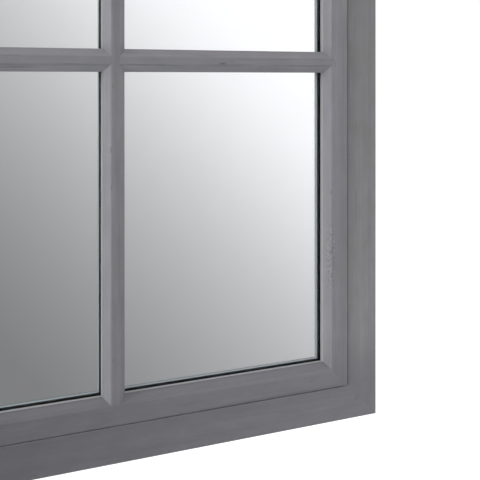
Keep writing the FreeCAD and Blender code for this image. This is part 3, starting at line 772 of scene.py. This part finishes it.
# Straps with their sharp edges rubbed down.
STRAP_EASING = 0.25 * MM
hanger_zinc = zinc("zinc_hangers", HANGER_ZINC)
for node in ("hanger_strap_left", "hanger_strap_right"):
    strap = welded(node)
    joined_faces(strap, 0.5)
    ease_edges(strap, [edge for edge in strap.edges if bends_out(edge, 50)], STRAP_EASING, segments=3)
    piece(f"{node}_softened", strap, hanger_zinc, stands_for=node)

# Pieces that stay as they are in CAD.
give("back_board", hardboard())
spline_wood = bare_wood()
bumper_rubber = rubber()
for node, material in (
    ("outer_corner_splines", spline_wood), ("sash_corner_splines", spline_wood),
    ("hanger_ring_left", hanger_zinc), ("hanger_ring_right", hanger_zinc),
    ("wall_bumper_left", bumper_rubber), ("wall_bumper_right", bumper_rubber),
):
    give(node, material)

# Floor: white to the camera, a little grey near the mirror, and unseen in the glass.
FLOOR_LEVEL = BOTTOM - 0.6
FLOOR_HALF = 30
FLOOR_TONE = rgb(0.75, 0.75, 0.75)
FLOOR_SHADE = rgb(0.2, 0.2, 0.2)
FLOOR_NEAR = rgb(0.94, 0.94, 0.94)
NEAR_END, WHITE_START = 0.7, 1.7
floor_paint = Finish("floor_paint")
floor_seen = floor_paint.node("ShaderNodeLightPath", output="Is Camera Ray")
on_plan = floor_paint.stretched((1, 1, 0))
reach = floor_paint.node("ShaderNodeVectorMath", {"operation": "LENGTH"}, {0: on_plan}, output="Value")
floor_glow = floor_paint.mix(floor_paint.ease(reach, NEAR_END, WHITE_START), FLOOR_NEAR, WHITE)
floor_tool = bmesh.new()
bmesh.ops.create_grid(floor_tool, x_segments=1, y_segments=1, size=FLOOR_HALF)
bmesh.ops.translate(floor_tool, vec=Vector((0, 0, FLOOR_LEVEL)), verts=floor_tool.verts)
floor = linked("floor", floor_tool, floor_paint.set(
    Base_Color=floor_paint.mix(floor_seen, FLOOR_TONE, FLOOR_SHADE), Roughness=1, Specular_IOR_Level=0,
    Emission_Color=floor_paint.mix(floor_seen, BLACK, floor_glow), Emission_Strength=1,
))
floor.visible_glossy = False
floor.visible_transmission = False

# World: white to the camera, faint as light, and in the glass a room that brightens to the right and up.
ROOM_TINT = rgb(1.162, 0.993, 0.992)
ROOM_ACROSS, ROOM_UP, ROOM_LEVEL = 2.75, 2.5, -0.99
ROOM_MOST, ROOM_ROUNDING, ROOM_LEAST = 1.15, 0.5, 0.24
LEFT_START, LEFT_FULL, LEFT_GLOW = 0.1, -0.8, 0.5
AMBIENT_TINT = rgb(0.98, 0.99, 1.0)
AMBIENT = 0.06
world = bpy.data.worlds.new("studio")
bpy.context.scene.world = world
world.use_nodes = True
world.node_tree.nodes.clear()
sky = Tree(world.node_tree)
across, _, up = sky.axes(sky.node("ShaderNodeTexCoord", output="Generated"))
glow = math.e ** (across * ROOM_ACROSS + up * ROOM_UP + ROOM_LEVEL)
glow = glow.math("SMOOTH_MIN", glow, ROOM_MOST, ROOM_ROUNDING).most(ROOM_LEAST)
glow = glow + sky.ease(across, LEFT_START, LEFT_FULL) * LEFT_GLOW
rays = sky.node("ShaderNodeLightPath").socket.node
is_camera = Wire(sky, rays.outputs["Is Camera Ray"])
is_shiny = Wire(sky, rays.outputs["Is Glossy Ray"]).most(Wire(sky, rays.outputs["Is Transmission Ray"]))
soft = sky.node("ShaderNodeBackground", sockets={"Color": AMBIENT_TINT, "Strength": AMBIENT})
room = sky.node("ShaderNodeBackground", sockets={"Color": ROOM_TINT, "Strength": glow})
white = sky.node("ShaderNodeBackground", sockets={"Color": WHITE, "Strength": 1})
seen = sky.node("ShaderNodeMixShader", sockets={0: is_shiny, 1: soft, 2: room})
seen = sky.node("ShaderNodeMixShader", sockets={0: is_camera, 1: seen, 2: white})
world_out = world.node_tree.nodes.new("ShaderNodeOutputWorld")
world.node_tree.links.new(seen.socket, world_out.inputs["Surface"])

# Lamps: place, size and power. None is seen, in the glass either.
AIM = Vector((0.25, 0, -0.85))
for name, place, size, power in (
    ("left_panel", (-5.1, -0.66, 0.06), 2.3, 447),
    ("right_panel", (3.0, -0.9, -0.3), 1.4, 32),
    ("over_panel", (0.3, -0.7, 1.6), 1.4, 39),
    ("low_panel", (0.3, -1.0, -1.65), 0.8, 6),
    ("rear_panel", (-0.8, 3.2, 0.2), 1.8, 110),
):
    light = bpy.data.lights.new(name, "AREA")
    light.shape = "SQUARE"
    light.size = size
    light.energy = power
    lamp = bpy.data.objects.new(name, light)
    lamp.location = place
    lamp.rotation_euler = (AIM - Vector(place)).to_track_quat("-Z", "Y").to_euler()
    lamp.visible_glossy = False
    lamp.visible_transmission = False
    lamp.visible_camera = False
    bpy.context.scene.collection.objects.link(lamp)

# Camera, level, with a vertical shift that keeps the uprights parallel.
YAW = math.radians(23.666)
camera_data = bpy.data.cameras.new("camera")
camera_data.lens = 60.684
camera_data.sensor_width = 36
camera_data.shift_y = -0.3343
camera = bpy.data.objects.new("camera", camera_data)
camera.location = (-0.0871, -0.8506, -0.7849)
camera.rotation_euler = Euler((math.pi / 2, 0, -YAW))
bpy.context.scene.collection.objects.link(camera)
bpy.context.scene.camera = camera
bpy.context.scene.view_settings.view_transform = "Standard"
